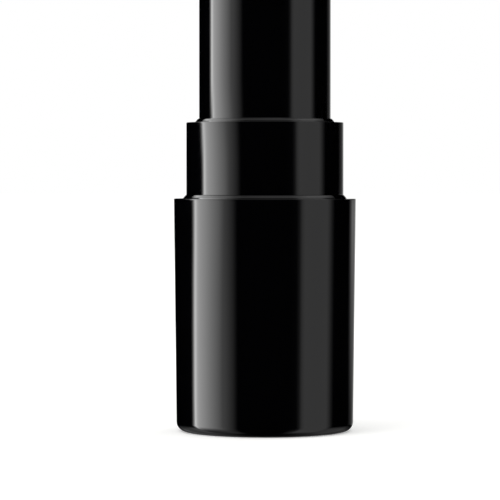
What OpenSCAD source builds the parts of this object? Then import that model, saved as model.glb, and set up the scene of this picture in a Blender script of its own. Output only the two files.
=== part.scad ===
// Twist-up face paint stick: a stepped round case with a helix that lifts a cup of paint.
// Millimetres, +Z up along the stick, origin at the centre of the foot.

/* [Base] */
// Outer diameter of the base at its shoulder
base_d = 22; // [19.8:0.1:24]
// Width of the shoulder between the base and the collar
shoulder_w = 1.5; // [1.3:0.1:2]
// How much narrower the base is at its foot
base_taper = 0.6; // [0:0.1:0.8]
// Height of the base from the foot to the shoulder
base_h = 28.1; // [26:0.1:36]
// Radius of the shoulder's outer edge
base_edge_r = 0.35; // [0.1:0.05:0.5]
// Radius of the foot's outer edge
foot_edge_r = 1.1; // [0.5:0.1:1.2]
// Thickness of the base's floor
base_floor = 1.6; // [1.2:0.1:2.5]
// Diameter of the shallow recess in the underside
recess_d = 15; // [10:0.5:17]
// Depth of the shallow recess in the underside
recess_depth = 0.4; // [0.2:0.1:0.6]
// Number of ribs that key the collar
rib_count = 6; // [4:1:8]
// Thickness of a rib
rib_t = 1; // [0.8:0.1:1.4]

/* [Collar] */
// Height of the collar above the shoulder
collar_h = 9.2; // [8:0.1:12]
// Width of the ledge between the collar and the upper tube
ledge_w = 1.55; // [1.3:0.05:2]
// Radius of the collar's top outer edge
collar_edge_r = 0.25; // [0.1:0.05:0.4]
// How far the collar's spigot goes down into the base
spigot_depth = 12.3; // [10:0.1:14]
// Step from the collar down to its spigot
spigot_step = 0.2; // [0.15:0.05:0.3]
// Thickness of the flange at the spigot's bottom
flange_t = 1.8; // [1.6:0.1:2.4]
// Inner diameter of the flange at the spigot's bottom
flange_bore_d = 11; // [9:0.5:12]
// Height of the keys and of their notches
key_h = 0.9; // [0.6:0.1:1.2]

/* [Raised lips] */
// Height of the bevelled lip at each step of the case
lip_h = 0.45; // [0.2:0.05:0.6]
// Width of the bevelled lip at each step of the case
lip_w = 0.42; // [0.2:0.05:0.5]

/* [Upper tube] */
// Height of the upper tube above the collar
tube_h = 31; // [29:0.5:40]
// Wall of the upper tube
tube_wall = 0.55; // [0.45:0.05:0.6]
// How far the upper tube goes down into the collar
tube_in_collar = 7.6; // [6:0.1:7.8]
// Radius of the mouth's outer edge
mouth_edge_r = 0.45; // [0.2:0.05:0.6]
// Thickness of the mouth's inturned rim
mouth_rim_t = 0.8; // [0.6:0.1:1.2]
// Width of the ledge under the rim that stops the helix sleeve
helix_stop_w = 0.35; // [0.2:0.05:0.4]

/* [Helix sleeve] */
// Wall of the helix sleeve
helix_wall = 0.66; // [0.6:0.02:0.7]
// Depth of the helical grooves
groove_depth = 0.42; // [0.36:0.02:0.46]
// Rise of the paint for one turn of the sleeve
lead = 13.5; // [11:0.5:16]

/* [Slotted tube] */
// Wall of the slotted tube
slotted_wall = 0.42; // [0.36:0.02:0.5]
// Wall of the skirt that is pressed into the collar
skirt_wall = 1; // [0.8:0.1:1.4]
// Thickness of the deck between the skirt and the tube
deck_t = 1; // [0.8:0.1:1.4]
// Height of the neck that holds the drag ring
neck_h = 1.8; // [1.6:0.1:2.4]
// Height of the bead that keeps the helix sleeve on
bead_h = 0.8; // [0.6:0.1:1]
// How far that bead stands out past the slotted tube
bead_out = 0.26; // [0.2:0.02:0.3]

/* [Drag ring] */
// Thickness of the silicone drag ring
ring_t = 0.9; // [0.7:0.05:1]
// How far the drag ring sits into the neck
ring_seat = 0.54; // [0.45:0.03:0.6]

/* [Paint cup] */
// Height of the cup
cup_h = 8; // [6:0.5:9]
// Wall of the cup
cup_wall = 0.35; // [0.3:0.05:0.5]
// Thickness of the cup's floor
cup_floor = 0.8; // [0.6:0.1:1.2]
// Diameter of the hole in the cup's floor
cup_hole_d = 4; // [2:0.5:6]
// Diameter of the two lugs that ride in the grooves
lug_d = 1.4; // [1.2:0.1:1.5]
// Height of the lugs above the cup's underside
lug_rise = 1.5; // [1.2:0.1:2]
// Depth of the cup's rim below the mouth when wound up
rim_shy = 2; // [1:0.1:3]
// Number of fins inside the cup that grip the paint
fin_count = 4; // [3:1:6]
// Thickness of a fin
fin_t = 0.45; // [0.3:0.05:0.6]
// How far a fin stands into the paint
fin_w = 1; // [0.6:0.1:1.5]
// Height of a fin above the cup's floor
fin_h = 5; // [3:0.5:5]

/* [Paint] */
// Height that the paint is wound up from its lowest place
wound_up = 18; // [0:0.5:24]
// Radius of the rounded edge of the paint's tip
tip_edge_r = 2.6; // [1.5:0.1:3.5]
// Radius of the shallow crown on the paint's tip
crown_r = 9; // [8:0.5:20]
// Depth of the paint's tip below the mouth when wound down
tip_shy = 0.7; // [0.4:0.1:2]

/* [Fits] */
// Radial gap between pieces that turn or slide on each other
run_gap = 0.08; // [0.05:0.01:0.1]
// Radial gap between pieces that are pressed together
press_gap = 0.02; // [0.01:0.01:0.03]
// Axial gap between pieces that turn on each other
end_gap = 0.3; // [0.15:0.05:0.4]
// Gap round a lug in its helical groove
groove_gap = 0.12; // [0.08:0.01:0.15]
// Radial height of the snap beads on the pressed pieces
snap_out = 0.2; // [0.1:0.05:0.25]

/* [Hidden] */
$fn = 96;

// Radii of the nested pieces, from the outside in
base_r = base_d / 2;
foot_r = base_r - base_taper / 2;
collar_r = base_r - shoulder_w;
spigot_r = collar_r - spigot_step;
base_bore_r = spigot_r + press_gap;
tube_r = collar_r - ledge_w;
collar_bore_r = tube_r + run_gap;
tube_bore_r = tube_r - tube_wall;
helix_r = tube_bore_r - press_gap;
helix_bore_r = helix_r - helix_wall;
groove_r = helix_bore_r + groove_depth;
slotted_r = helix_bore_r - run_gap;
slotted_bore_r = slotted_r - slotted_wall;
cup_r = slotted_bore_r - run_gap;
cup_bore_r = cup_r - cup_wall;
paint_r = cup_bore_r - press_gap;
mouth_r = slotted_bore_r + run_gap;
skirt_r = collar_bore_r - press_gap;

// Heights, from the foot up: the collar is seated on the base's lip
seat_z = base_h + lip_h;
collar_bottom = base_h - spigot_depth;
collar_top = base_h + collar_h;
skirt_bottom = collar_bottom + flange_t;
tube_bottom = collar_top - tube_in_collar;
mouth_z = collar_top + tube_h;
deck_top = tube_bottom - end_gap;
neck_top = deck_top + neck_h;
rim_under = mouth_z - mouth_rim_t;
slotted_top = rim_under - end_gap / 2;
bead_bottom = slotted_top - bead_h;
helix_top = bead_bottom - end_gap / 2;

// Travel of the cup: it stops just above the neck, and where its rim is still inside the mouth
cup_low = neck_top + end_gap / 2;
travel = mouth_z - rim_shy - cup_h - cup_low;
cup_z = cup_low + wound_up;
lug_low = cup_low + lug_rise;
lug_z = cup_z + lug_rise;

// Lugs, slots and grooves: a groove starts just below the lowest place of its lug, and leaves the top open
lug_tip_r = groove_r - groove_gap;
slot_w = lug_d + 2 * run_gap;
groove_w = lug_d + 2 * groove_gap;
lead_angle = atan(lead / (2 * PI * groove_r));
groove_tall = groove_w / cos(lead_angle);
groove_start = lug_low - lug_d / 4;
groove_end = helix_top + groove_tall;
steps_per_turn = 48;

// Drag ring and its seats
ring_z = deck_top + neck_h / 2;
ring_centre_r = slotted_r - ring_seat + ring_t / 2;
ring_room_r = ring_centre_r + ring_t / 2 + run_gap / 2;

// Ribs, fins and snap beads
rib_in_r = flange_bore_d / 2 + rib_t / 2;
fin_turn = 180 / fin_count;
spigot_snap_z = collar_bottom + spigot_depth / 3;
skirt_snap_z = (skirt_bottom + deck_top) / 2;

// Paint
paint_bottom = cup_z + cup_floor;
paint_tip = mouth_z - tip_shy + (cup_z - cup_low);

// Small fixed details
cut = 0.5; // overshoot of every cutting shape
sink = 0.25; // how far a rib runs into the walls that it grows from
snap_half_h = 0.7; // half the height of a snap bead at its root
lip_top_w = 0.05; // flat left on top of a bevelled lip

// Points along an arc in the plane of a turned profile
function arc(centre, r, from, to, steps = 8) =
    [for (i = [0:steps]) let (a = from + (to - from) * i / steps) centre + r * [cos(a), sin(a)]];

// Outer profile points of the raised lip round a narrower piece of radius r above the step at z
function bevelled_lip(r, z) = [[r + lip_w, z], [r + lip_top_w, z + lip_h]];

// A solid turned from a profile of radius and height
module turned(profile) {
    rotate_extrude() polygon(profile);
}

// A ring of rectangular section
module ring(outer_r, inner_r, bottom, top) {
    turned([[inner_r, bottom], [outer_r, bottom], [outer_r, top], [inner_r, top]]);
}

// A snap bead on a wall of radius r, or the groove that takes it when it is grown by a gap
module snap(r, z, gap = 0) {
    half = snap_half_h + gap;
    crest = half / 3;
    out = snap_out + gap;
    turned([
        [r - cut, z - half], [r, z - half], [r + out, z - crest],
        [r + out, z + crest], [r, z + half], [r - cut, z + half]
    ]);
}

// Copies of a child, spread evenly round the axis
module around(count, turn = 0) {
    for (i = [0:count - 1]) rotate(turn + 360 * i / count) children();
}

// Radial fins between two radii
module fins(count, inner_r, outer_r, thick, bottom, top, turn = 0) {
    around(count, turn)
        translate([inner_r, -thick / 2, bottom]) cube([outer_r - inner_r, thick, top - bottom]);
}

// A helical bar of rectangular section that follows the grooves, from one height to another
module helical_bar(bottom, top) {
    start = 360 * (bottom - lug_z) / lead;
    steps = ceil(steps_per_turn * (top - bottom) / lead);
    section = [
        [helix_bore_r - cut, -groove_tall / 2], [groove_r, -groove_tall / 2],
        [groove_r, groove_tall / 2], [helix_bore_r - cut, groove_tall / 2]
    ];
    points = [for (i = [0:steps], p = section)
        let (rise = (top - bottom) * i / steps, angle = start + 360 * rise / lead)
        [p.x * cos(angle), p.x * sin(angle), bottom + rise + p.y]];
    sides = [for (i = [0:steps - 1], k = [0:3], half = [0:1])
        let (a = 4 * i + k, b = 4 * i + (k + 1) % 4) half == 0 ? [a, b, a + 4] : [b, b + 4, a + 4]];
    last = 4 * steps;
    ends = [[0, 2, 1], [0, 3, 2], [last, last + 1, last + 2], [last, last + 2, last + 3]];
    polyhedron(points, concat(sides, ends));
}

// Moulded outer cup of the base, with ribs that key the collar
module base_shell() {
    color("#0a0a0b") {
        difference() {
            turned(concat(
                [[0, 0]],
                arc([foot_r - foot_edge_r, foot_edge_r], foot_edge_r, -90, 0),
                arc([base_r - base_edge_r, base_h - base_edge_r], base_edge_r, 0, 90),
                bevelled_lip(collar_r, base_h),
                [[base_bore_r, seat_z], [base_bore_r, base_floor], [0, base_floor]]
            ));
            translate([0, 0, -cut]) cylinder(d = recess_d, h = recess_depth + cut);
            snap(spigot_r, spigot_snap_z, press_gap);
        }
        fins(rib_count, rib_in_r, base_bore_r + sink, rib_t, base_floor - sink, collar_bottom + key_h);
    }
}

// Collar that a cap slides onto, with a spigot pressed into the base
module collar_sleeve() {
    color("#0a0a0b") difference() {
        union() {
            turned(concat(
                [[flange_bore_d / 2, collar_bottom], [spigot_r, collar_bottom],
                 [spigot_r, seat_z], [collar_r, seat_z]],
                arc([collar_r - collar_edge_r, collar_top - collar_edge_r], collar_edge_r, 0, 90),
                bevelled_lip(collar_bore_r, collar_top),
                [[collar_bore_r, collar_top + lip_h], [collar_bore_r, skirt_bottom],
                 [flange_bore_d / 2, skirt_bottom]]
            ));
            snap(spigot_r, spigot_snap_z);
        }
        snap(skirt_r, skirt_snap_z, press_gap);
        fins(rib_count, 0, spigot_r + cut, rib_t + 2 * press_gap,
            collar_bottom - cut, collar_bottom + key_h + press_gap);
    }
}

// Slotted tube that keeps the cup from turning, on a skirt pressed into the collar
module slotted_tube() {
    bead_flat_h = bead_h / 3;
    color("#161617") difference() {
        union() {
            turned([
                [skirt_r - skirt_wall, skirt_bottom], [skirt_r, skirt_bottom], [skirt_r, deck_top],
                [slotted_r, deck_top], [slotted_r, bead_bottom], [slotted_r + bead_out, bead_bottom],
                [slotted_r + bead_out, bead_bottom + bead_flat_h], [slotted_r, slotted_top],
                [slotted_bore_r, slotted_top], [slotted_bore_r, neck_top], [0, neck_top],
                [0, deck_top - deck_t], [skirt_r - skirt_wall, deck_top - deck_t]
            ]);
            snap(skirt_r, skirt_snap_z);
        }
        rotate_extrude() translate([ring_centre_r, ring_z]) circle(d = ring_t);
        translate([-base_r, -slot_w / 2, lug_low - slot_w / 2])
            cube([base_d, slot_w, travel + slot_w]);
    }
}

// Silicone ring that gives the twist its even drag
module drag_ring() {
    color("#c9ccd0") rotate_extrude()
        translate([ring_centre_r, ring_z]) circle(d = ring_t - 2 * press_gap);
}

// Upper tube of the case, with an inturned rim at the mouth
module upper_tube() {
    color("#0a0a0b") turned(concat(
        [[tube_bore_r, tube_bottom], [tube_r, tube_bottom]],
        arc([tube_r - mouth_edge_r, mouth_z - mouth_edge_r], mouth_edge_r, 0, 90),
        [[mouth_r, mouth_z], [mouth_r, rim_under], [tube_bore_r - helix_stop_w, rim_under],
         [tube_bore_r - helix_stop_w, helix_top], [tube_bore_r, helix_top]]
    ));
}

// Sleeve pressed into the upper tube, with two helical grooves inside
module helix_sleeve() {
    color("#e4e2da") difference() {
        ring(helix_r, helix_bore_r, tube_bottom, helix_top);
        ring(ring_room_r, helix_bore_r - cut, tube_bottom - cut, neck_top - end_gap);
        around(2) helical_bar(groove_start, groove_end);
    }
}

// Cup that holds the paint, with two lugs and fins
module paint_cup() {
    mid_wall_r = cup_r - cup_wall / 2;
    color("#e9e7e0") difference() {
        union() {
            ring(cup_r, cup_bore_r, cup_z, cup_z + cup_h);
            translate([0, 0, cup_z]) cylinder(r = mid_wall_r, h = cup_floor);
            fins(fin_count, cup_bore_r - fin_w, mid_wall_r, fin_t,
                cup_z + cup_floor / 2, paint_bottom + fin_h, fin_turn);
            around(2) translate([mid_wall_r, 0, lug_z]) rotate([0, 90, 0])
                cylinder(d = lug_d, h = lug_tip_r - mid_wall_r);
        }
        translate([0, 0, cup_z - cut]) cylinder(d = cup_hole_d, h = cup_floor + 2 * cut);
    }
}

// Cast stick of wax paint, with a rounded tip
module paint_stick() {
    edge_x = paint_r - tip_edge_r;
    drop = sqrt(pow(crown_r - tip_edge_r, 2) - pow(edge_x, 2));
    crown_z = paint_tip - crown_r;
    edge_z = crown_z + drop;
    meet = atan2(drop, edge_x);
    color("#f2efe6") difference() {
        turned(concat(
            [[0, paint_bottom], [paint_r, paint_bottom]],
            arc([edge_x, edge_z], tip_edge_r, 0, meet, 12),
            arc([0, crown_z], crown_r, meet, 90, 8)
        ));
        fins(fin_count, cup_bore_r - fin_w - press_gap, cup_bore_r + cut, fin_t + 2 * press_gap,
            paint_bottom - cut, paint_bottom + fin_h + press_gap, fin_turn);
    }
}

base_shell();
collar_sleeve();
slotted_tube();
drag_ring();
upper_tube();
helix_sleeve();
paint_cup();
paint_stick();
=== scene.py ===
import math

import bpy
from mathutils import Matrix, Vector


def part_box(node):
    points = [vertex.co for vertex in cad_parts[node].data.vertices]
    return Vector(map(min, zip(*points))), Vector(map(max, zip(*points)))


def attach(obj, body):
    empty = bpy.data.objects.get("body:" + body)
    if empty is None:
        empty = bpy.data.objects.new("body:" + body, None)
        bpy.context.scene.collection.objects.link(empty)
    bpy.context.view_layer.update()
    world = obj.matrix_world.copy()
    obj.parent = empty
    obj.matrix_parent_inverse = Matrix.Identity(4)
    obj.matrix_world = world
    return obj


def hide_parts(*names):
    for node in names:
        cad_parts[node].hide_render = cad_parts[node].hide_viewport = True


# Twist-up face paint stick: a gloss black moulded case and a stick of wax paint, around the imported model
mm = 0.001
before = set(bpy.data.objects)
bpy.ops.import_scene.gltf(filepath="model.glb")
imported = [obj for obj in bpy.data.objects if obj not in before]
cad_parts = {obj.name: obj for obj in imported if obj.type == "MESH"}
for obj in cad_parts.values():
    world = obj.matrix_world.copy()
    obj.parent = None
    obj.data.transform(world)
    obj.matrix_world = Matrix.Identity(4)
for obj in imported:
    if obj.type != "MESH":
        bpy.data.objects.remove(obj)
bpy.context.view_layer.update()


def linearColour(hexCode):
    channels = [int(hexCode[i:i + 2], 16) / 255 for i in (1, 3, 5)]
    return [c / 12.92 if c <= 0.04045 else ((c + 0.055) / 1.055) ** 2.4 for c in channels] + [1.0]


def perSize(sizeMm):
    return 1 / (sizeMm * mm)  # texture scale for a pattern of that real size


def addNode(tree, kind, settings=None, **inputs):
    # an underscore in an input's name stands for a space, and in0, in1... are inputs by place
    node = tree.nodes.new(kind)
    for name, value in (settings or {}).items():
        setattr(node, name, value)
    for name, value in inputs.items():
        byPlace = name[:2] == "in" and name[2:].isdigit()
        socket = node.inputs[int(name[2:])] if byPlace else node.inputs[name.replace("_", " ")]
        if isinstance(value, bpy.types.NodeSocket):
            tree.links.new(value, socket)
        else:
            socket.default_value = value
    return node


# Outlines of the turned pieces, in millimetres of radius and height: hold is how far past an arc its extra
# point lies, up to the largest share of the wall, and an arc's steps grow with its radius
drawing = {"hold": 0.04, "largestShare": 0.48, "fewestSteps": 4, "stepsAtOneMm": 14}


def arcPoints(centre, radius, start, turn, steps):
    angles = [start + turn * i / steps for i in range(steps + 1)]
    return [(centre[0] + radius * math.cos(a), centre[1] + radius * math.sin(a)) for a in angles]


def roundedOutline(corners):
    # a corner is (radius, height, rounding); a point just past each arc keeps the walls' shading flat
    points = []
    for i, (r, z, rounding) in enumerate(corners):
        if not rounding:
            points.append((r, z))
            continue
        sides, lengths = [], []
        for r2, z2, _ in (corners[i - 1], corners[(i + 1) % len(corners)]):
            lengths.append(math.hypot(r2 - r, z2 - z))
            sides.append(((r2 - r) / lengths[-1], (z2 - z) / lengths[-1]))
        half = math.acos(sides[0][0] * sides[1][0] + sides[0][1] * sides[1][1]) / 2
        middle = (sides[0][0] + sides[1][0], sides[0][1] + sides[1][1])
        reach = rounding / math.sin(half) / math.hypot(*middle)
        centre = (r + middle[0] * reach, z + middle[1] * reach)
        tangent = rounding / math.tan(half)
        start, end = (math.atan2(z + s[1] * tangent - centre[1], r + s[0] * tangent - centre[0])
                      for s in sides)
        turn = (end - start + math.pi) % math.tau - math.pi
        held = [min(tangent + drawing["hold"], drawing["largestShare"] * length) for length in lengths]
        before, after = ((r + s[0] * h, z + s[1] * h) for s, h in zip(sides, held))
        steps = max(drawing["fewestSteps"], round(drawing["stepsAtOneMm"] * min(rounding, 1) ** 0.5))
        points += [before, *arcPoints(centre, rounding, start, turn, steps), after]
    return points


def subdivided(points, longest, closed=True):
    # extra points along the long walls, for the surface's slight waves
    result = []
    for i, (r, z) in enumerate(points):
        result.append((r, z))
        if i + 1 == len(points) and not closed:
            break
        r2, z2 = points[(i + 1) % len(points)]
        pieces = math.ceil(math.hypot(r2 - r, z2 - z) / longest)
        result += [(r + (r2 - r) * k / pieces, z + (z2 - z) * k / pieces) for k in range(1, pieces)]
    return result


def boxMm(node):
    # radius, lowest and highest point of a round node, in millimetres
    low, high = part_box(node)
    return high.x / mm, low.z / mm, high.z / mm


# Geometry Nodes: an outline is turned about the stick's axis, and a ring of blocks is joined to it or cut
# from it; the merge distance is in millimetres, and edges steeper than the crease angle stay sharp
turning = {"mergeDistance": 0.002, "noiseSeed": 3.0, "creaseAngle": 35}


def turnedPieceTree():
    tree = bpy.data.node_groups.new("turnedPiece", "GeometryNodeTree")
    tree.interface.new_socket(name="Geometry", in_out="OUTPUT", socket_type="NodeSocketGeometry")
    tree.interface.new_socket(name="Outline", in_out="INPUT", socket_type="NodeSocketGeometry")
    for name, kind in (("Closed", "Bool"), ("Segments", "Int"), ("Wave Height", "Float"),
                       ("Wave Size", "Float"), ("Blocks", "Int"), ("Cut Blocks", "Bool"),
                       ("Block Inner", "Float"), ("Block Outer", "Float"), ("Block Width", "Float"),
                       ("Block Bottom", "Float"), ("Block Top", "Float"), ("Block Turn", "Float"),
                       ("Material", "Material")):
        tree.interface.new_socket(name=name, in_out="INPUT", socket_type="NodeSocket" + kind)
    given = tree.nodes.new("NodeGroupInput").outputs

    def calc(operation, *values):
        inputs = {f"in{i}": value for i, value in enumerate(values)}
        return addNode(tree, "ShaderNodeMath", {"operation": operation}, **inputs).outputs[0]

    # a grid with a column for each point of the outline and a row for each step round the axis;
    # it spans -0.5 to 0.5 both ways
    outlineSize = addNode(tree, "GeometryNodeAttributeDomainSize", Geometry=given["Outline"])
    count = outlineSize.outputs["Point Count"]
    columns = calc("ADD", count, given["Closed"])
    rows = calc("ADD", given["Segments"], 1.0)
    grid = addNode(tree, "GeometryNodeMeshGrid", Size_X=1.0, Size_Y=1.0, Vertices_X=columns,
                   Vertices_Y=rows)
    position = tree.nodes.new("GeometryNodeInputPosition").outputs[0]
    across, along, _ = addNode(tree, "ShaderNodeSeparateXYZ", Vector=position).outputs
    column = calc("ROUND", calc("MULTIPLY", calc("ADD", across, 0.5), calc("SUBTRACT", columns, 1.0)))
    # turned this way round, the faces point outwards
    angle = calc("MULTIPLY", calc("ADD", along, 0.5), -math.tau)
    corner = addNode(tree, "GeometryNodeSampleIndex", {"data_type": "FLOAT_VECTOR"},
                     Geometry=given["Outline"], Value=position, Index=calc("MODULO", column, count))
    radius, _, height = addNode(tree, "ShaderNodeSeparateXYZ", Vector=corner.outputs[0]).outputs
    place = addNode(tree, "ShaderNodeCombineXYZ", X=calc("MULTIPLY", radius, calc("COSINE", angle)),
                    Y=calc("MULTIPLY", radius, calc("SINE", angle)), Z=height)
    turned = addNode(tree, "GeometryNodeSetPosition", Geometry=grid.outputs["Mesh"],
                     Position=place.outputs[0])
    merged = addNode(tree, "GeometryNodeMergeByDistance", Geometry=turned.outputs[0],
                     Distance=turning["mergeDistance"] * mm)

    # the slight waves of a moulded or cast surface
    noise = addNode(tree, "ShaderNodeTexNoise", {"noise_dimensions": "4D"}, W=turning["noiseSeed"],
                    Detail=1.0, Scale=calc("DIVIDE", 1.0, given["Wave Size"]))
    wave = calc("MULTIPLY", calc("SUBTRACT", noise.outputs[0], 0.5), given["Wave Height"])
    normal = tree.nodes.new("GeometryNodeInputNormal").outputs[0]
    offset = addNode(tree, "ShaderNodeVectorMath", {"operation": "SCALE"}, Vector=normal, Scale=wave)
    waved = addNode(tree, "GeometryNodeSetPosition", Geometry=merged.outputs[0], Offset=offset.outputs[0])

    # one block, copied round the axis
    size = addNode(tree, "ShaderNodeCombineXYZ",
                   X=calc("SUBTRACT", given["Block Outer"], given["Block Inner"]),
                   Y=given["Block Width"], Z=calc("SUBTRACT", given["Block Top"], given["Block Bottom"]))
    middle = addNode(tree, "ShaderNodeCombineXYZ",
                     X=calc("MULTIPLY", calc("ADD", given["Block Outer"], given["Block Inner"]), 0.5),
                     Z=calc("MULTIPLY", calc("ADD", given["Block Top"], given["Block Bottom"]), 0.5))
    cube = addNode(tree, "GeometryNodeMeshCube", Size=size.outputs[0])
    block = addNode(tree, "GeometryNodeTransform", Geometry=cube.outputs[0], Translation=middle.outputs[0])
    index = tree.nodes.new("GeometryNodeInputIndex").outputs[0]
    step = calc("DIVIDE", math.tau, calc("MAXIMUM", given["Blocks"], 1.0))
    spin = addNode(tree, "ShaderNodeCombineXYZ", Z=calc("MULTIPLY_ADD", index, step, given["Block Turn"]))
    centres = addNode(tree, "GeometryNodePoints", Count=given["Blocks"])
    copies = addNode(tree, "GeometryNodeInstanceOnPoints", Points=centres.outputs[0],
                     Instance=block.outputs[0], Rotation=spin.outputs[0])
    ring = addNode(tree, "GeometryNodeRealizeInstances", Geometry=copies.outputs[0]).outputs[0]
    grown = addNode(tree, "GeometryNodeMeshBoolean", {"operation": "UNION", "solver": "EXACT"}, in1=ring)
    tree.links.new(waved.outputs[0], grown.inputs[1])
    cut = addNode(tree, "GeometryNodeMeshBoolean", {"operation": "DIFFERENCE", "solver": "EXACT"},
                  in0=waved.outputs[0], in1=ring)
    blocked = addNode(tree, "GeometryNodeSwitch", {"input_type": "GEOMETRY"},
                      in0=given["Cut Blocks"], in1=grown.outputs[0], in2=cut.outputs[0])
    healed = addNode(tree, "GeometryNodeMergeByDistance", Geometry=blocked.outputs[0],
                     Distance=turning["mergeDistance"] * mm)
    chosen = addNode(tree, "GeometryNodeSwitch", {"input_type": "GEOMETRY"},
                     in0=given["Blocks"], in1=waved.outputs[0], in2=healed.outputs[0])
    smooth = addNode(tree, "GeometryNodeSetShadeSmooth", Geometry=chosen.outputs[0])
    steep = addNode(tree, "ShaderNodeMath", {"operation": "GREATER_THAN"},
                    in0=tree.nodes.new("GeometryNodeInputMeshEdgeAngle").outputs[0],
                    in1=math.radians(turning["creaseAngle"]))
    creased = addNode(tree, "GeometryNodeSetShadeSmooth", {"domain": "EDGE"}, Geometry=smooth.outputs[0],
                      Selection=steep.outputs[0], Shade_Smooth=False)
    real = addNode(tree, "GeometryNodeRealizeInstances", Geometry=creased.outputs[0])
    finished = addNode(tree, "GeometryNodeSetMaterial", Geometry=real.outputs[0],
                       Material=given["Material"])
    addNode(tree, "NodeGroupOutput", Geometry=finished.outputs[0])
    return tree


def turnPiece(name, points, material, body, node, slot, closed=True, **values):
    # values are the tree's other inputs, with an underscore for each space
    outline = bpy.data.meshes.new(name + "Outline")
    outline.from_pydata([(r * mm, 0, z * mm) for r, z in points],
                        [(i, i + 1) for i in range(len(points) - 1)], [])
    lathe = bpy.data.objects.new(name + "Outline", outline)
    bpy.context.scene.collection.objects.link(lathe)
    modifier = lathe.modifiers.new("turn", "NODES")
    modifier.node_group = turnedTree
    sockets = {item.name: item.identifier for item in turnedTree.interface.items_tree
               if item.in_out == "INPUT"}
    for key, value in {"Closed": closed, "Material": material, **values}.items():
        modifier[sockets[key.replace("_", " ")]] = value
    graph = bpy.context.evaluated_depsgraph_get()
    piece = bpy.data.objects.new(name, bpy.data.meshes.new_from_object(lathe.evaluated_get(graph)))
    bpy.data.objects.remove(lathe)
    bpy.context.scene.collection.objects.link(piece)
    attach(piece, body)
    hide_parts(node)
    print(name, len(piece.data.polygons), "faces")


# Materials, each from what the real one is

def newMaterial(name, **inputs):
    material = bpy.data.materials.new(name)
    material.use_nodes = True
    tree = material.node_tree
    shader = tree.nodes["Principled BSDF"]
    for key, value in inputs.items():
        shader.inputs[key.replace("_", " ")].default_value = value
    place = addNode(tree, "ShaderNodeTexCoord").outputs["Object"]
    return material, tree, shader, place


def rangeOf(tree, value, low, high):
    return addNode(tree, "ShaderNodeMapRange", Value=value, To_Min=low, To_Max=high).outputs[0]


def polishedBlackSan(finish):
    # SAN moulded in a mirror-polished tool: a hard, wet-looking black whose reflections keep sharp edges
    material, tree, shader, place = newMaterial(
        "polishedBlackSan", IOR=finish["ior"], Base_Color=linearColour(finish["colour"]))
    peel = addNode(tree, "ShaderNodeTexNoise", Vector=place, Scale=perSize(finish["peelSize"]), Detail=2.0)
    # faint wipe marks run up and down the case
    wipes = addNode(tree, "ShaderNodeMapping", Vector=place, Scale=(1, 1, finish["hairStretch"]))
    hairs = addNode(tree, "ShaderNodeTexNoise", Vector=wipes.outputs[0], Scale=perSize(finish["hairSize"]),
                    Detail=3.0)
    mixed = addNode(tree, "ShaderNodeMath", {"operation": "MULTIPLY"},
                    in0=peel.outputs[0], in1=hairs.outputs[0])
    rough = rangeOf(tree, mixed.outputs[0], *finish["roughness"])
    tree.links.new(rough, shader.inputs["Roughness"])
    bump = addNode(tree, "ShaderNodeBump", Height=peel.outputs[0], Distance=finish["peelDepth"] * mm)
    tree.links.new(bump.outputs[0], shader.inputs["Normal"])
    return material


# How far light gets into a milky plastic, and the size of the faint clouds in its colour, in millimetres
moulding = {"milkDepth": 0.6, "cloudSize": 3.0}


def mouldedPlastic(name, finish):
    # the moulding's fine spark-eroded grain, drawn a little coarser than it is so that it shows
    material, tree, shader, place = newMaterial(
        name, IOR=finish["ior"], Subsurface_Weight=finish["milky"],
        Subsurface_Scale=moulding["milkDepth"] * mm)
    grain = addNode(tree, "ShaderNodeTexNoise", Vector=place, Scale=perSize(finish["grainSize"]),
                    Detail=2.0)
    clouds = addNode(tree, "ShaderNodeTexNoise", Vector=place, Scale=perSize(moulding["cloudSize"]),
                     Detail=1.0)
    colour = addNode(tree, "ShaderNodeMix", {"data_type": "RGBA"}, Factor=clouds.outputs[0],
                     in6=linearColour(finish["colours"][0]), in7=linearColour(finish["colours"][1]))
    tree.links.new(colour.outputs[2], shader.inputs["Base Color"])
    rough = rangeOf(tree, grain.outputs[0], *finish["roughness"])
    tree.links.new(rough, shader.inputs["Roughness"])
    bump = addNode(tree, "ShaderNodeBump", Height=grain.outputs[0], Distance=finish["grainDepth"] * mm)
    tree.links.new(bump.outputs[0], shader.inputs["Normal"])
    return material


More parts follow.
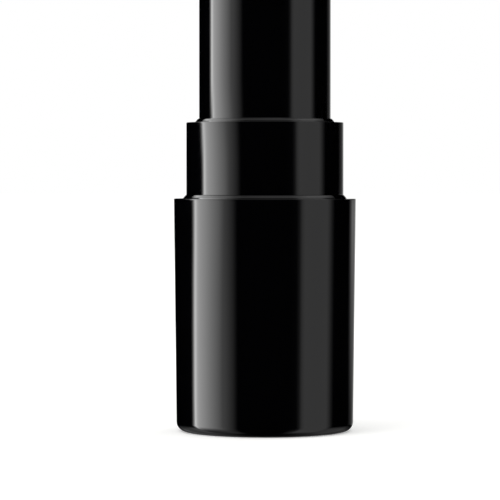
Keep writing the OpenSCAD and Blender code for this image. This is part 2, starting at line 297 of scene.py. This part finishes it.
def castWaxPaint(finish):
    # pigmented wax cast in a smooth mould: opaque, softly lit from within, and satin,
    # with faint drag lines and pinholes
    material, tree, shader, place = newMaterial(
        "castWaxPaint", IOR=finish["ior"], Subsurface_Weight=finish["waxy"],
        Subsurface_Scale=finish["waxDepth"] * mm, Subsurface_Radius=finish["waxTint"],
        Specular_IOR_Level=finish["specular"])
    clouds = addNode(tree, "ShaderNodeTexNoise", Vector=place, Scale=perSize(finish["cloudSize"]),
                     Detail=4.0, Roughness=finish["cloudRoughness"])
    patches = addNode(tree, "ShaderNodeMapRange", Value=clouds.outputs[0],
                      From_Min=finish["cloudRange"][0], From_Max=finish["cloudRange"][1])
    colour = addNode(tree, "ShaderNodeMix", {"data_type": "RGBA"}, Factor=patches.outputs[0],
                     in6=linearColour(finish["colours"][0]), in7=linearColour(finish["colours"][1]))
    tree.links.new(colour.outputs[2], shader.inputs["Base Color"])
    rough = rangeOf(tree, patches.outputs[0], *finish["roughness"])
    tree.links.new(rough, shader.inputs["Roughness"])
    # lines drawn along the stick as it slides out of its mould
    drawn = addNode(tree, "ShaderNodeMapping", Vector=place, Scale=(1, 1, finish["lineStretch"]))
    lines = addNode(tree, "ShaderNodeTexNoise", Vector=drawn.outputs[0], Scale=perSize(finish["lineSize"]),
                    Detail=3.0)
    lined = addNode(tree, "ShaderNodeBump", Height=lines.outputs[0], Distance=finish["lineDepth"] * mm)
    # a pinhole in some cells only
    cells = addNode(tree, "ShaderNodeTexVoronoi", Vector=place, Scale=perSize(finish["holeSpacing"]))
    chance = addNode(tree, "ShaderNodeSeparateColor", Color=cells.outputs["Color"]).outputs[0]
    radius = rangeOf(tree, chance, finish["holeRadius"] / finish["holeSpacing"], 0.0)
    holes = addNode(tree, "ShaderNodeMapRange", Value=cells.outputs["Distance"], From_Max=radius)
    holed = addNode(tree, "ShaderNodeBump", Height=holes.outputs[0], Distance=finish["holeDepth"] * mm,
                    Normal=lined.outputs[0])
    tree.links.new(holed.outputs[0], shader.inputs["Normal"])
    return material


# Sizes and depths of the patterns are in millimetres
caseFinish = {"colour": "#020203", "roughness": (0.05, 0.11), "ior": 1.57, "peelSize": 5.0,
              "peelDepth": 0.001, "hairSize": 0.5, "hairStretch": 0.04}
mechanismFinish = {"colours": ("#111112", "#161617"), "roughness": (0.34, 0.42), "ior": 1.52, "milky": 0.0,
                   "grainSize": 0.12, "grainDepth": 0.004}
acetalFinish = {"colours": ("#E3DFD3", "#E9E6DC"), "roughness": (0.34, 0.42), "ior": 1.48, "milky": 0.2,
                "grainSize": 0.2, "grainDepth": 0.002}
cupFinish = {"colours": ("#E6E3D9", "#ECEAE2"), "roughness": (0.38, 0.46), "ior": 1.49, "milky": 0.3,
             "grainSize": 0.15, "grainDepth": 0.003}
siliconeFinish = {"colours": ("#B9BDC2", "#C6CACE"), "roughness": (0.25, 0.35), "ior": 1.41, "milky": 0.6,
                  "grainSize": 0.3, "grainDepth": 0.002}
paintFinish = {"colours": ("#EEE9DD", "#F3EFE5"), "roughness": (0.38, 0.52), "ior": 1.44, "specular": 0.35,
               "waxy": 0.3, "waxDepth": 1.0, "waxTint": (1.0, 0.85, 0.7), "cloudSize": 2.0,
               "cloudRange": (0.3, 0.7), "cloudRoughness": 0.65, "lineSize": 0.3, "lineDepth": 0.012,
               "lineStretch": 0.04, "holeSpacing": 1.6, "holeRadius": 0.14, "holeDepth": 0.06}

caseBlack = polishedBlackSan(caseFinish)
mechanismBlack = mouldedPlastic("satinBlackAbs", mechanismFinish)
helixAcetal = mouldedPlastic("naturalAcetal", acetalFinish)
cupNatural = mouldedPlastic("naturalPolypropylene", cupFinish)
dragSilicone = mouldedPlastic("clearSilicone", siliconeFinish)
waxPaint = castWaxPaint(paintFinish)
print("materials made")

for node, material in (("slotted_tube", mechanismBlack), ("helix_sleeve", helixAcetal),
                       ("paint_cup", cupNatural), ("drag_ring", dragSilicone)):
    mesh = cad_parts[node].data
    mesh.materials.clear()
    mesh.materials.append(material)

turnedTree = turnedPieceTree()

# What the three case pieces share: the steps round them and along their walls, and their surface's waves
walls = {"segments": 256, "step": 1.5, "waveHeight": 0.003, "waveSize": 8}
wallWaves = {"Wave_Height": walls["waveHeight"] * mm, "Wave_Size": walls["waveSize"] * mm}
# The beads and grooves that the pressed pieces snap together by
snap = {"depth": 0.2, "grooveHalf": 0.72, "beadHalf": 0.7, "crestHalf": 0.24}

# The slightly rounded lip that stands at the root of each step
lip = {"width": 0.42, "height": 0.45, "top": 0.05, "swell": 0.035, "round": 1.6, "edge": 0.04}


def lipPoints(wall, low, topEdge):
    # from the lip's outer foot up its slope to its top, round a wall of this radius
    run, rise = lip["width"] - lip["top"], lip["height"]
    out = lip["swell"] / math.hypot(run, rise)
    middle = (wall + lip["top"] + run / 2 + rise * out, low + rise / 2 + run * out, lip["round"])
    return [(wall + lip["width"], low, lip["edge"]), middle, (wall + lip["top"], low + rise, topEdge)]


def snapPoints(radius, height, half):
    # a bead or groove on a wall that runs downwards
    crestRadius = radius + snap["depth"]
    return [(radius, height + half, 0), (crestRadius, height + snap["crestHalf"], 0),
            (crestRadius, height - snap["crestHalf"], 0), (radius, height - half, 0)]


# The base: the wide lower shell, with its raised lip, the gate's dimple underneath and the ribs inside
base = {
    "footNarrower": 0.3, "footRound": 1.1, "shoulderRound": 0.07, "edge": 0.04, "bore": 9.32, "floor": 1.6,
    "floorRound": 0.2, "recessRadius": 7.5, "recessDepth": 0.4, "recessRound": 0.1,
    "gateRadius": 1.6, "gateDepth": 0.2, "pipRadius": 0.45, "pipHeight": 0.12, "snapHeight": 19.9,
    "ribs": 6, "ribWidth": 1.0, "ribInner": 6.0, "ribTop": 16.7, "ribSink": 0.25,
}
baseRadius, _, baseTop = boxMm("base_shell")
collarRadius, collarBottom, collarLipTop = boxMm("collar_sleeve")
shoulder = baseTop - lip["height"]
gateTop = base["recessDepth"] + base["gateDepth"]
baseCorners = [
    (0, gateTop - base["pipHeight"], 0),
    (base["pipRadius"], gateTop - base["pipHeight"], base["edge"]),
    (base["pipRadius"], gateTop, base["edge"]), (base["gateRadius"], gateTop, base["edge"]),
    (base["gateRadius"], base["recessDepth"], base["edge"]),
    (base["recessRadius"], base["recessDepth"], base["recessRound"]),
    (base["recessRadius"], 0, base["recessRound"]),
    (baseRadius - base["footNarrower"], 0, base["footRound"]),
    (baseRadius, shoulder, base["shoulderRound"]),
    *lipPoints(collarRadius, shoulder, lip["edge"]), (base["bore"], baseTop, base["edge"]),
    *snapPoints(base["bore"], base["snapHeight"], snap["grooveHalf"]),
    (base["bore"], base["floor"], base["floorRound"]), (0, base["floor"], 0),
]
turnPiece("baseShell", subdivided(roundedOutline(baseCorners), walls["step"], closed=False), caseBlack,
          "base", "base_shell", "case_black", closed=False, Segments=walls["segments"], **wallWaves,
          Blocks=base["ribs"], Cut_Blocks=False, Block_Inner=base["ribInner"] * mm,
          Block_Outer=(base["bore"] + base["ribSink"]) * mm, Block_Width=base["ribWidth"] * mm,
          Block_Bottom=(base["floor"] - base["ribSink"]) * mm, Block_Top=base["ribTop"] * mm)

# The collar: the middle step, notched over the ribs, with a lip round the upper tube
collar = {
    "spigot": 9.3, "spigotRound": 0.1, "flangeBore": 5.5, "flangeTop": 17.6, "bore": 8.03, "topRound": 0.07,
    "edge": 0.04, "lipEdge": 0.02, "snapHeight": 23.5, "notchWidth": 1.04, "notchTop": 16.72,
    "notchInner": 1, "notchOver": 0.5,
}
collarTop = collarLipTop - lip["height"]
collarCorners = [
    (collar["flangeBore"], collarBottom, 0), (collar["spigot"], collarBottom, collar["spigotRound"]),
    *reversed(snapPoints(collar["spigot"], base["snapHeight"], snap["beadHalf"])),
    (collar["spigot"], baseTop, 0), (collarRadius, baseTop, collar["edge"]),
    (collarRadius, collarTop, collar["topRound"]),
    *lipPoints(collar["bore"], collarTop, collar["lipEdge"]),
    (collar["bore"], collarLipTop, collar["lipEdge"]),
    *snapPoints(collar["bore"], collar["snapHeight"], snap["grooveHalf"]),
    (collar["bore"], collar["flangeTop"], 0), (collar["flangeBore"], collar["flangeTop"], 0),
]
turnPiece("collarSleeve", subdivided(roundedOutline(collarCorners), walls["step"]), caseBlack,
          "base", "collar_sleeve", "case_black", Segments=walls["segments"], **wallWaves,
          Blocks=base["ribs"], Cut_Blocks=True, Block_Inner=collar["notchInner"] * mm,
          Block_Outer=(collarRadius + collar["notchOver"]) * mm, Block_Width=collar["notchWidth"] * mm,
          Block_Bottom=(collarBottom - collar["notchOver"]) * mm, Block_Top=collar["notchTop"] * mm)

# The upper tube, with its rounded mouth and inturned rim
tube = {
    "wall": 0.55, "mouthRound": 0.45, "mouthRadius": 6.3, "rimThickness": 0.8, "rimTopRound": 0.2,
    "rimUnderRound": 0.1, "bottomRound": 0.1, "stopWidth": 0.35, "stopHeight": 1.1, "edge": 0.05,
}
tubeRadius, tubeBottom, mouth = boxMm("upper_tube")
tubeBore = tubeRadius - tube["wall"]
rimUnder = mouth - tube["rimThickness"]
tubeCorners = [
    (tubeBore, tubeBottom, tube["edge"]), (tubeRadius, tubeBottom, tube["bottomRound"]),
    (tubeRadius, mouth, tube["mouthRound"]), (tube["mouthRadius"], mouth, tube["rimTopRound"]),
    (tube["mouthRadius"], rimUnder, tube["rimUnderRound"]),
    (tubeBore - tube["stopWidth"], rimUnder, tube["edge"]),
    (tubeBore - tube["stopWidth"], rimUnder - tube["stopHeight"], tube["edge"]),
    (tubeBore, rimUnder - tube["stopHeight"], tube["edge"]),
]
turnPiece("upperTube", subdivided(roundedOutline(tubeCorners), walls["step"]), caseBlack,
          "sleeve", "upper_tube", "case_black", Segments=walls["segments"], **wallWaves)

# The paint: a cast stick with a rounded edge and a shallow crown, slotted where the cup's fins grip it
paint = {
    "edgeRound": 2.6, "crownRound": 9.0, "bottomRound": 0.1, "edgeSteps": 14, "crownSteps": 12,
    "fins": 4, "finWidth": 0.49, "finInner": 4.77, "finHeight": 5.02, "finOver": 0.5,
    "segments": 192, "wallStep": 0.35, "waveHeight": 0.014, "waveSize": 3,
}
paintRadius, paintBottom, paintTip = boxMm("paint_stick")
edgeR = paintRadius - paint["edgeRound"]
drop = math.sqrt((paint["crownRound"] - paint["edgeRound"]) ** 2 - edgeR ** 2)
crownZ = paintTip - paint["crownRound"]
meet = math.atan2(drop, edgeR)
paintOutline = [
    *roundedOutline([(0, paintBottom, 0), (paintRadius, paintBottom, paint["bottomRound"]),
                     (paintRadius, crownZ, 0)]),
    *arcPoints((edgeR, crownZ + drop), paint["edgeRound"], 0, meet, paint["edgeSteps"]),
    *arcPoints((0, crownZ), paint["crownRound"], meet, math.pi / 2 - meet, paint["crownSteps"])[1:],
]
turnPiece("paintStick", subdivided(paintOutline, paint["wallStep"], closed=False), waxPaint,
          "carriage", "paint_stick", "wax_paint", closed=False, Segments=paint["segments"],
          Wave_Height=paint["waveHeight"] * mm, Wave_Size=paint["waveSize"] * mm,
          Blocks=paint["fins"], Cut_Blocks=True, Block_Inner=paint["finInner"] * mm,
          Block_Outer=(paintRadius + paint["finOver"]) * mm, Block_Width=paint["finWidth"] * mm,
          Block_Bottom=(paintBottom - paint["finOver"]) * mm,
          Block_Top=(paintBottom + paint["finHeight"]) * mm, Block_Turn=math.pi / paint["fins"])

# Stage, in metres: a pale floor, and cards that only gloss sees, because a black gloss case shows nothing
# but its lights
studio = {
    "floorColour": "#F5F5F3", "bounceColour": "#DADAD8", "floorLift": 0.3, "floorHalf": 4.0,
    "floorGap": 0.00002, "fill": 0.8, "cardDistance": 1.0, "cardHeight": 0.02,
}
# name, place, target, size and power
softboxes = [
    ("keySoftbox", (-0.5, -0.4, 0.5), (0, 0, 0.04), 0.6, 2.2),
    ("backSoftbox", (0.45, 0.5, 0.4), (0, 0, 0.05), 0.6, 1.2),
]


def stageObject(name, verts, faces, material):
    mesh = bpy.data.meshes.new(name)
    mesh.from_pydata(verts, [], faces)
    mesh.materials.append(material)
    piece = bpy.data.objects.new(name, mesh)
    bpy.context.scene.collection.objects.link(piece)
    return piece


def glowMaterial():
    material = bpy.data.materials.new("glowCard")
    material.use_nodes = True
    material.cycles.emission_sampling = "NONE"
    tree = material.node_tree
    tree.nodes.clear()
    glow = addNode(tree, "ShaderNodeAttribute", {"attribute_name": "glow"}).outputs["Fac"]
    light = addNode(tree, "ShaderNodeEmission", Strength=glow)
    addNode(tree, "ShaderNodeOutputMaterial", Surface=light.outputs[0])
    return material


def between(stops, x):
    # the value at x on the straight lines between (place, value) stops, and none past their ends
    for (x1, y1), (x2, y2) in zip(stops, stops[1:]):
        if x1 <= x <= x2:
            return y1 + (y2 - y1) * (x - x1) / (x2 - x1)
    return 0.0


def gridAngles(sides):
    # every stop, and each whole degree between the outermost ones
    places = {angle for stops in sides for angle, _ in stops}
    return sorted(places | set(range(math.ceil(min(places)), math.floor(max(places)) + 1)))


def layerGlow(across, upright, u, v, lean=None):
    shift = between(lean, v) if lean else 0
    return between(across, u - shift) * between(upright, v)


def glowCard(name, direction, *layers):
    # a layer's across and upright are (angle, brightness) stops in degrees, its lean is stops of
    # (upright angle, shift of the across stops), and the layers add up
    columns = gridAngles([layer["across"] for layer in layers])
    rows = gridAngles([layer["upright"] for layer in layers])
    verts = []
    for u in columns:
        for v in rows:
            x, y, z = direction(math.radians(u), math.radians(v))
            reach = studio["cardDistance"]
            verts.append((x * reach, y * reach, z * reach + studio["cardHeight"]))
    n = len(rows)
    faces = [(i * n + k, i * n + k + 1, (i + 1) * n + k + 1, (i + 1) * n + k)
             for i in range(len(columns) - 1) for k in range(n - 1)]
    card = stageObject(name, verts, faces, cardGlow)
    glow = card.data.attributes.new("glow", "FLOAT", "POINT")
    glow.data.foreach_set(
        "value", [sum(layerGlow(u=u, v=v, **layer) for layer in layers) for u in columns for v in rows])
    for ray in ("camera", "diffuse", "transmission", "volume_scatter", "shadow"):
        setattr(card, "visible_" + ray, False)


def byBearing(bearing, elevation):
    # bearing 0 is the camera's side, and 90 is +X
    flat = math.cos(elevation)
    return math.sin(bearing) * flat, -math.cos(bearing) * flat, math.sin(elevation)


def byLip(side, slope):
    # what a face that is turned sideways and tilted up so far mirrors to the camera
    out, up = math.cos(side) * math.cos(slope), math.sin(slope)
    return 2 * out * math.sin(side) * math.cos(slope), 1 - 2 * out * out, 2 * out * up


edgeGap = {"lowestSine": 0.51, "highestSlope": 30.5, "rungs": 8}


def byEdge(side, rung):
    # from just above the side cards' top, given by its sine, up to the arch card, in even rungs
    lowest = math.asin(edgeGap["lowestSine"] / math.cos(side)) / 2
    highest = math.radians(edgeGap["highestSlope"])
    return byLip(side, lowest + (highest - lowest) * math.degrees(rung) / edgeGap["rungs"])


cardGlow = glowMaterial()
# from the right, round the back, to the left
rightStrip = {
    "across": [(32, 0), (40, 0.01), (44, 0.12), (48, 0.5), (52, 0.66), (60, 0.64), (75, 0.6), (85, 0.57),
               (89, 0.38), (94, 0.11), (98.5, 0)],
    "upright": [(-75, 0), (-67, 0.16), (-57, 0.55), (-48, 1), (30, 1)],
}
footArc = {
    "across": [(30, 0), (38, 0.12), (48, 0.12), (52, 0)],
    "upright": [(-75, 0), (-65, 0.5), (-55, 1), (-35, 1), (-22, 0.4), (-12, 0)],
}
rightEdge = {
    "across": [(136, 0), (143, 0.05), (152, 0.1), (158, 0.24), (166, 0.55), (178, 1)],
    "upright": [(-11, 0), (-9, 1), (6, 1), (9, 0)],
}
baseRightStrip = {
    "across": [(132, 0), (135, 0.05), (139, 0.15), (143, 0.28), (147, 0.38), (152, 0.27), (156, 0.1),
               (161, 0)],
    "upright": [(-6, 0), (-3, 0.5), (-1, 1), (-0.45, 1), (-0.05, 0)],
}
behind = {
    "across": [(86, 0), (100, 0.38), (120, 0.3), (135, 0.26), (150, 0.1), (190, 0.12), (207, 0.3),
               (214, 0.2), (233, 0.28), (242, 0.45), (252, 0.7), (260, 0)],
    "upright": [(-75, 0), (-60, 0.5), (-50, 1), (-26, 1), (-20, 0.45), (-14, 0.1), (-12, 0)],
}
leftFill = {
    "across": [(256, 0), (259, 0.35), (280, 0.6), (300, 0.9), (306, 0.85), (314, 0.46), (318, 0.28),
               (322, 0.08), (325, 0)],
    "upright": [(-74, 0), (-60, 0.35), (-38, 0.5), (-26, 0.75), (-14, 1), (30, 1)],
    "lean": [(-75, 0), (1.2, 0), (2.8, -3.7), (30, -3.7)],
}
leftStrip = {
    "across": [(252.5, 0), (255.2, 0.8), (257.6, 3), (259.8, 7), (260.8, 7.2), (263.2, 5.2), (267, 4.1),
               (278, 3.2), (288, 2.05), (297, 1.05), (304, 0.2), (306, 0)],
    "upright": [(-46, 0), (-38, 0.04), (-33, 0.09), (-27, 0.2), (-20, 0.5), (-14, 0.75), (-9, 1),
                (30, 1)],
    "lean": [(-75, 0), (-12, 0), (-6, -2.2), (-3.2, -0.7), (-1.2, 1.6), (0.2, 0.6), (1.5, 0.2),
             (2.7, -6.8), (30, -6.8)],
}
glowCard("sideCards", byBearing, rightStrip, footArc, rightEdge, baseRightStrip, behind, leftFill,
         leftStrip)

# the shoulders' rounded edges, with the strips carried over them, and the lines along the lips
strips = [(-54, 0), (-53, 3), (-51.5, 6.8), (-50, 5), (-46, 4.4), (-41, 3.8), (-36, 2.8), (-31, 1.8),
          (-27, 0.85), (-23, 0.46), (-19, 0.08), (-17, 0), (16, 0), (20, 0.01), (22, 0.12), (24, 0.5),
          (26, 0.66), (30, 0.64), (42.5, 0.57), (44.5, 0.38), (47, 0.12), (49.5, 0), (54, 0)]
lipLine = [(-64, 0), (-60, 2.4), (-57, 3), (-54.5, 2.9), (-49, 2.6), (-43.5, 2.6), (-39, 2.15),
           (-34, 1.65), (-30, 1.35), (-26, 0.95), (-22, 0.55), (-15, 0.4), (0, 0.48), (18, 0.48),
           (26, 0.75), (32, 0.95), (39, 0.8), (45, 0.7), (52, 0.38), (58, 0.1)]
glowCard("edgeCard", byEdge, {"across": strips, "upright": [(0, 1), (edgeGap["rungs"], 1)]})
glowCard("archCard", byLip,
         {"across": strips, "upright": [(31, 1), (33, 0.85), (34.5, 0.25), (36, 0)]},
         {"across": lipLine, "upright": [(31, 0), (33, 0.2), (34.5, 0.8), (36, 1), (45, 1), (47, 0)]},
         {"across": strips, "upright": [(46, 0), (48, 0.8), (58, 0.8)]})


def paleFloorMaterial():
    # the camera sees a near-white floor with its shadow; other rays see a duller one
    material = bpy.data.materials.new("paleFloor")
    material.use_nodes = True
    tree = material.node_tree
    tree.nodes.clear()
    seen = addNode(tree, "ShaderNodeLightPath").outputs["Is Camera Ray"]
    colour = addNode(tree, "ShaderNodeMix", {"data_type": "RGBA"}, Factor=seen,
                     in6=linearColour(studio["bounceColour"]), in7=linearColour(studio["floorColour"]))
    diffuse = addNode(tree, "ShaderNodeBsdfDiffuse", Color=colour.outputs[2])
    lift = addNode(tree, "ShaderNodeMath", {"operation": "MULTIPLY"}, in0=seen, in1=studio["floorLift"])
    glow = addNode(tree, "ShaderNodeEmission", Strength=lift.outputs[0])
    both = addNode(tree, "ShaderNodeAddShader", in0=diffuse.outputs[0], in1=glow.outputs[0])
    # from below it is clear, so that the foot shows
    fromBelow = tree.nodes.new("ShaderNodeNewGeometry").outputs["Backfacing"]
    clear = tree.nodes.new("ShaderNodeBsdfTransparent").outputs[0]
    sides = addNode(tree, "ShaderNodeMixShader", in0=fromBelow, in1=both.outputs[0], in2=clear)
    addNode(tree, "ShaderNodeOutputMaterial", Surface=sides.outputs[0])
    return material


half = studio["floorHalf"]
under = -studio["floorGap"]  # just clear of the foot
floorCorners = [(-half, -half, under), (half, -half, under), (half, half, under), (-half, half, under)]
floor = stageObject("floor", floorCorners, [(0, 1, 2, 3)], paleFloorMaterial())
floor.visible_glossy = False

world = bpy.data.worlds.new("studioWorld")
bpy.context.scene.world = world
world.use_nodes = True
world.cycles_visibility.glossy = False
worldTree = world.node_tree
worldTree.nodes.clear()
seen = addNode(worldTree, "ShaderNodeLightPath").outputs["Is Camera Ray"]
level = addNode(worldTree, "ShaderNodeMapRange", Value=seen, To_Min=studio["fill"], To_Max=1.0)
sky = addNode(worldTree, "ShaderNodeBackground", Strength=level.outputs[0])
sky.inputs["Color"].default_value = (1, 1, 1, 1)
addNode(worldTree, "ShaderNodeOutputWorld", Surface=sky.outputs[0])


def softbox(name, place, target, size, power):
    light = bpy.data.lights.new(name, "AREA")
    light.size = size
    light.energy = power
    lamp = bpy.data.objects.new(name, light)
    bpy.context.scene.collection.objects.link(lamp)
    lamp.location = place
    away = lamp.location - Vector(target)
    lamp.rotation_euler = away.to_track_quat("Z", "Y").to_euler()
    lamp.visible_glossy = lamp.visible_camera = False


for values in softboxes:
    softbox(*values)
print("stage set")

# The camera: a long lens, level with the collar, with the stick a little right of the middle
shot = {"distance": 0.3536, "eyeHeight": 0.03118, "aimHeight": 0.02188, "aside": -0.00181, "lens": 210.3,
        "sensor": 36, "nearest": 0.01, "furthest": 50}
cameraData = bpy.data.cameras.new("camera")
cameraData.lens = shot["lens"]
cameraData.sensor_width = shot["sensor"]
cameraData.clip_start, cameraData.clip_end = shot["nearest"], shot["furthest"]
camera = bpy.data.objects.new("camera", cameraData)
bpy.context.scene.collection.objects.link(camera)
camera.location = (shot["aside"], -shot["distance"], shot["eyeHeight"])
dip = math.atan2(shot["eyeHeight"] - shot["aimHeight"], shot["distance"])
camera.rotation_euler = (math.pi / 2 - dip, 0, 0)
bpy.context.scene.camera = camera
bpy.context.scene.view_settings.view_transform = "Standard"

print("scene ready")
